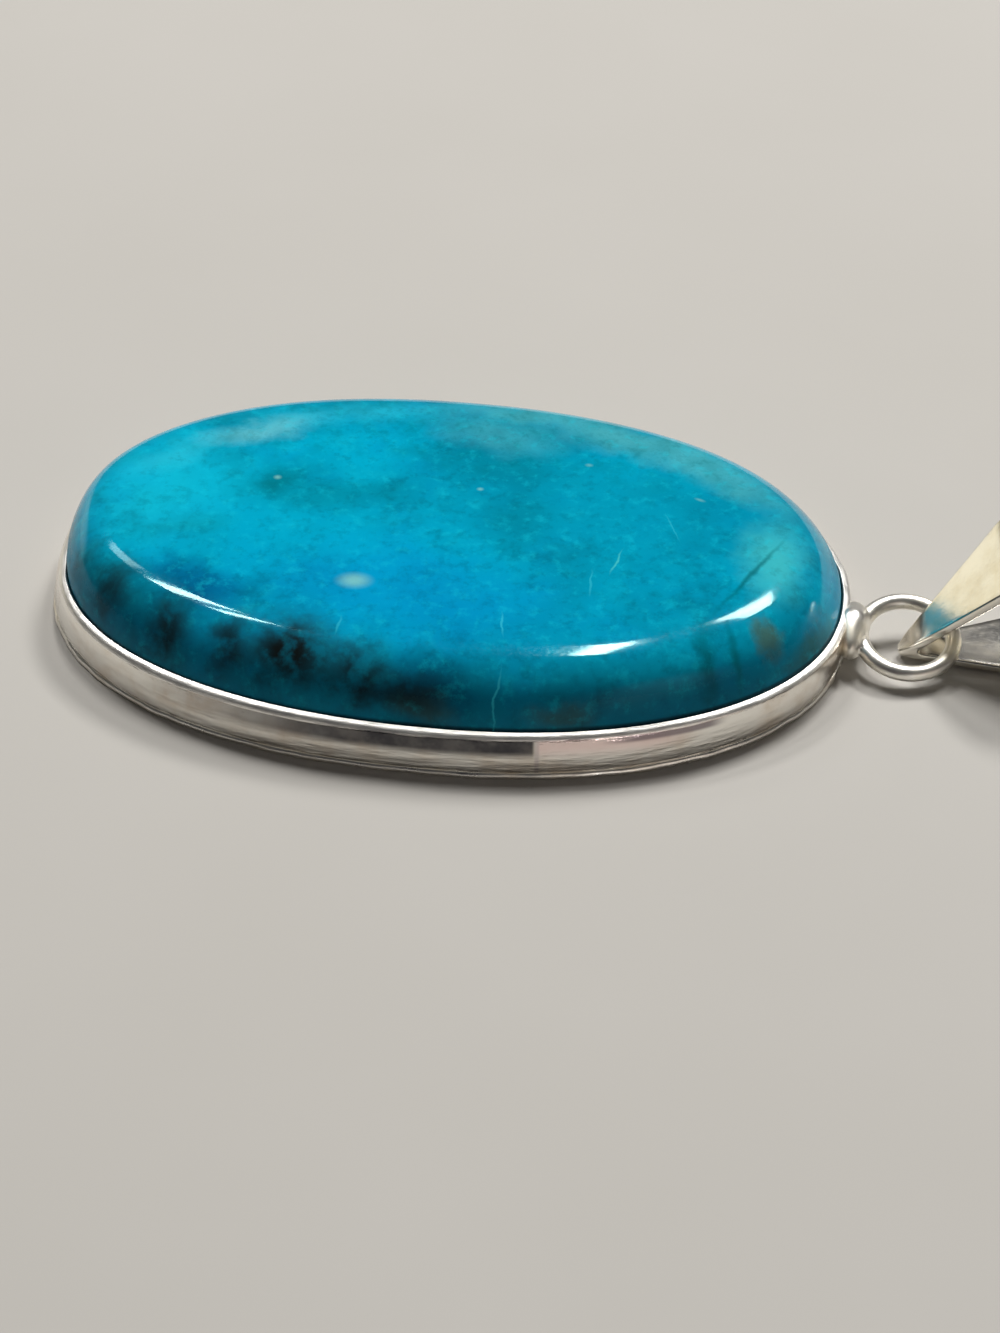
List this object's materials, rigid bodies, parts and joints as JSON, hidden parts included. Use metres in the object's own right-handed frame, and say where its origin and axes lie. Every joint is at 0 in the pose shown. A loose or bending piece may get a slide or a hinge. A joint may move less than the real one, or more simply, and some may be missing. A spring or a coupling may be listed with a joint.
{
  "type": "gemstone pendant",
  "caption": "Polished oval blue-green cabochon in a plain silver setting with a jump ring and a hinged, folded bail for a chain.",
  "frame": {"origin": "middle of the flat back of the setting", "axes": "+X along the oval towards the jump ring and bail, +Y across the oval, +Z out of the stone's face"},
  "size_m": [0.0518, 0.025, 0.0068],
  "materials": {
    "silver_back": "satin silver",
    "silver": "polished silver",
    "chrysocolla": "polished"
  },
  "bodies": {
    "setting": {"back_plate": "silver_back", "bezel": "silver", "cabochon": "chrysocolla", "jump_ring": "silver"},
    "bail": {"bail": "silver"}
  },
  "joints": [
    {"name": "bail_swing", "type": "hinge", "parent": "setting", "child": "bail", "pos_m": [0.02417, -0.00018, 0.00132], "axis": [0.225, -0.9744, 0], "range_deg": [-85, 75]}
  ]
}
